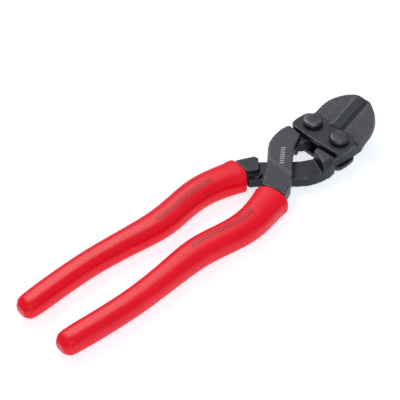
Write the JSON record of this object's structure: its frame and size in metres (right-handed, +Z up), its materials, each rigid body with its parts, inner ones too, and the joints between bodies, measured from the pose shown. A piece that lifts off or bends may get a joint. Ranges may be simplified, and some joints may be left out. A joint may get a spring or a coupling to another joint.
{
  "type": "bolt cutters",
  "caption": "Compact bolt cutters: two crossing forged levers riveted between a pair of link plates, jaws turned up at an angle, dipped red grips.",
  "frame": {"origin": "centre of the closed tool's bounding box, on the surface that it lies on", "axes": "+Y from the ends of the grips to the tip of the jaws, +X to the right seen from above with the jaws away, +Z up, along the pivot rivets"},
  "size_m": [0.0464, 0.2047, 0.0185],
  "materials": {
    "forged_steel": "black oxide, satin",
    "plate_steel": "black oxide, smooth satin",
    "rivet_steel": "black oxide, worn on the rim",
    "bearing_steel": "ground",
    "red_vinyl": "glossy dipped vinyl"
  },
  "bodies": {
    "link_plates": {"top_link_plate": "plate_steel", "bottom_link_plate": "plate_steel", "left_pivot_rivet": "rivet_steel", "right_pivot_rivet": "rivet_steel", "left_top_thrust_washer": "bearing_steel", "left_bottom_thrust_washer": "bearing_steel", "right_top_thrust_washer": "bearing_steel", "right_bottom_thrust_washer": "bearing_steel"},
    "upper_lever_set": {"upper_lever": "forged_steel", "left_pivot_bush": "bearing_steel", "right_grip": "red_vinyl"},
    "lower_lever_set": {"lower_lever": "forged_steel", "right_pivot_bush": "bearing_steel", "left_grip": "red_vinyl"}
  },
  "joints": [
    {"name": "left_pivot", "type": "hinge", "parent": "link_plates", "child": "upper_lever_set", "pos_m": [-0.0086, 0.07265, 0.0071], "axis": [0, 0, 1], "range_deg": [0, 14]},
    {"name": "right_pivot", "type": "hinge", "parent": "link_plates", "child": "lower_lever_set", "pos_m": [0.0086, 0.07265, 0.0071], "axis": [0, 0, 1], "range_deg": [-14, 0]}
  ],
  "couplings": [
    {"joint": "right_pivot", "follows": "left_pivot", "ratio": -1}
  ]
}
